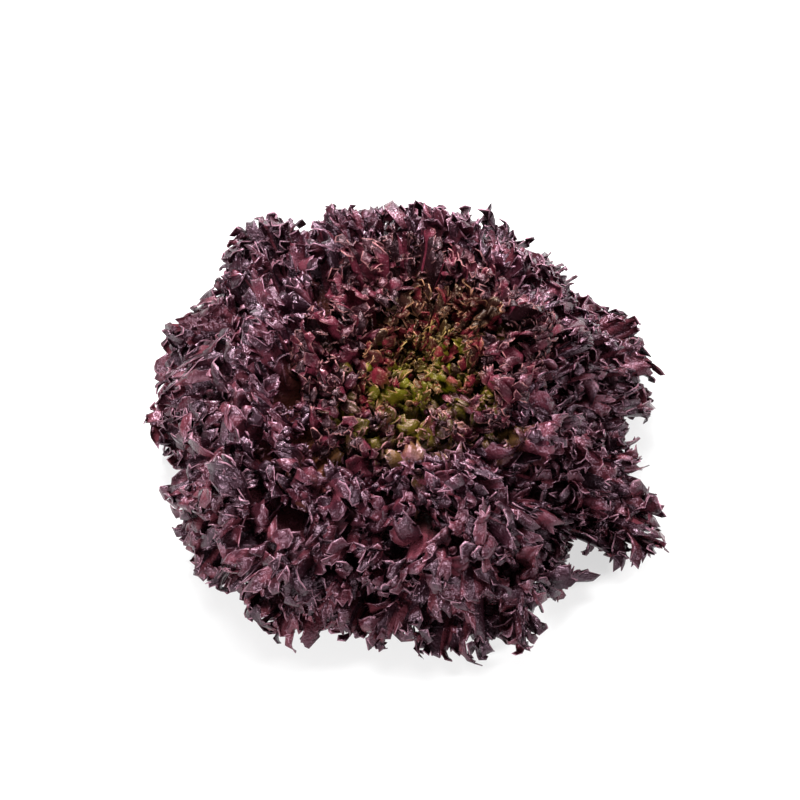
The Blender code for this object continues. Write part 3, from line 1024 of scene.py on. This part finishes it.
# %% The stem's finish
STEM_PALE = (0.62, 0.60, 0.42, 1)
STEM_GREEN = (0.30, 0.34, 0.12, 1)
STEM_STAIN = (0.40, 0.26, 0.12, 1)
STEM_RINGS = (0.006, 0.0135)
STEM_STAINED = (0.52, 0.75)
STEM_SPOT_SCALE = 240.0
STEM_BUMP = {"Distance": 0.0005, "Strength": 0.5}
STEM_ROUGHNESS = 0.5


def stem_finish():
    """Pale in the middle of the cut, green at its skin, by the distance from the stem's axis."""
    made = bpy.data.materials.new("cut_stem_skin")
    made.use_nodes = True
    tree = made.node_tree
    shader = tree.nodes["Principled BSDF"]
    place_socket = add_node(tree, "ShaderNodeTexCoord").outputs["Object"]
    flat = add_node(tree, "ShaderNodeVectorMath", operation="MULTIPLY")
    feed(tree, place_socket, flat.inputs[0])
    feed(tree, (1, 1, 0), flat.inputs[1])
    radius = add_node(tree, "ShaderNodeVectorMath", operation="LENGTH")
    feed(tree, flat.outputs["Vector"], radius.inputs[0])
    green = ranged(tree, radius.outputs["Value"], STEM_RINGS, 0.0, 1.0)
    spots = noise(tree, place_socket, STEM_SPOT_SCALE, 5.0)
    stained = ranged(tree, spots, STEM_STAINED, 0.0, 1.0)
    colour = mixed(tree, stained, mixed(tree, green, STEM_PALE, STEM_GREEN), STEM_STAIN)
    feed(tree, colour, shader.inputs["Base Color"])
    bump = add_node(tree, "ShaderNodeBump", inputs=STEM_BUMP)
    feed(tree, spots, bump.inputs["Height"])
    feed(tree, bump.outputs["Normal"], shader.inputs["Normal"])
    shader.inputs["Roughness"].default_value = STEM_ROUGHNESS
    return made


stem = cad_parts["stem"]
stem.data.materials.clear()
stem.data.materials.append(stem_finish())
print("stem's material:", stem.data.materials[0].name)

# %% [markdown]
# ## The floor
#
# The picture is a product shot on white, with no edge and hardly a shadow. Lamps that are strong
# enough to make a floor white would also burn out the shine on the leaves. So this floor glows a
# little: it comes out white under weaker lamps, and the head's shadow on it stays faint.

# %% The floor
FLOOR_HALF = 3.0
FLOOR_TONE = 0.32
FLOOR_GLOW = 0.63
FLOOR_ROUGHNESS = 0.9


def pale_floor():
    """A large flat square in the plane of the table."""
    mesh = bpy.data.meshes.new("floor")
    corners = [(x * FLOOR_HALF, y * FLOOR_HALF, 0) for x, y in ((-1, -1), (1, -1), (1, 1), (-1, 1))]
    mesh.from_pydata(corners, [], [(0, 1, 2, 3)])
    floor = bpy.data.objects.new("floor", mesh)
    bpy.context.scene.collection.objects.link(floor)
    paint = bpy.data.materials.new("pale_floor")
    paint.use_nodes = True
    shader = paint.node_tree.nodes["Principled BSDF"]
    shader.inputs["Base Color"].default_value = (*[FLOOR_TONE] * 3, 1)
    shader.inputs["Roughness"].default_value = FLOOR_ROUGHNESS
    shader.inputs["Emission Color"].default_value = (1, 1, 1, 1)
    shader.inputs["Emission Strength"].default_value = FLOOR_GLOW
    mesh.materials.append(paint)
    return floor


pale_floor()
print("floor, metres a side:", 2 * FLOOR_HALF)

# %% [markdown]
# ## Studio light
#
# Light comes softly from all round. Three lamps behind and above put the satin shine on the lobes
# that face away, one at the side lights the right, and one low in front opens the shadows at the
# left. They are fairly small, because a huge lamp would lay a grey veil on every waxy surface.

# %% The lamps and the room
ROOM_LIGHT = 0.28
LAMPS = [
    # name, place, width, watts
    ("overhead_lamp", (-0.15, 0.25, 1.15), 0.55, 12.0),
    ("key_lamp", (-0.26, 0.68, 0.98), 0.20, 32.0),
    ("back_lamp", (0.10, 1.30, 0.55), 0.60, 15.0),
    ("side_lamp", (0.80, -0.10, 0.70), 0.22, 7.0),
    ("front_lamp", (-0.70, -0.95, 0.50), 0.20, 17.5),
]


def aim(thing, target):
    """Turns a lamp or camera so that its -Z axis points at the target."""
    thing.rotation_mode = "QUATERNION"
    thing.rotation_quaternion = (Vector(target) - thing.location).to_track_quat("-Z", "Y")


for name, position, width, watts in LAMPS:
    lamp = bpy.data.objects.new(name, bpy.data.lights.new(name, "AREA"))
    lamp.data.size = width
    lamp.data.energy = watts
    lamp.location = position
    aim(lamp, (0, 0, 0))
    bpy.context.scene.collection.objects.link(lamp)

world = bpy.data.worlds.new("white_room")
world.use_nodes = True
world.node_tree.nodes["Background"].inputs["Color"].default_value = (1, 1, 1, 1)
world.node_tree.nodes["Background"].inputs["Strength"].default_value = ROOM_LIGHT
bpy.context.scene.world = world
bpy.context.scene.view_settings.view_transform = "Standard"
print("lamps:", len(LAMPS), "with", sum(lamp[3] for lamp in LAMPS), "W in all")

# %% [markdown]
# ## The camera
#
# It looks down at about 55 degrees, which shows the whole crown and still some of the front. It
# stands a metre away with a long lens, so that the near leaves look hardly larger than the far ones.

# %% Camera
CAMERA_HEIGHT_ANGLE = math.radians(55)
CAMERA_DISTANCE = 1.05
CAMERA_TARGET = Vector((-0.0085, -0.004, 0.035))
CAMERA_LENS = 100.0

camera = bpy.data.objects.new("camera", bpy.data.cameras.new("camera"))
camera.data.lens = CAMERA_LENS
away = Vector((0, -math.cos(CAMERA_HEIGHT_ANGLE), math.sin(CAMERA_HEIGHT_ANGLE)))
camera.location = CAMERA_TARGET + away * CAMERA_DISTANCE
aim(camera, CAMERA_TARGET)
bpy.context.scene.collection.objects.link(camera)
bpy.context.scene.camera = camera
print("camera's field of view in degrees:", round(math.degrees(camera.data.angle), 1))
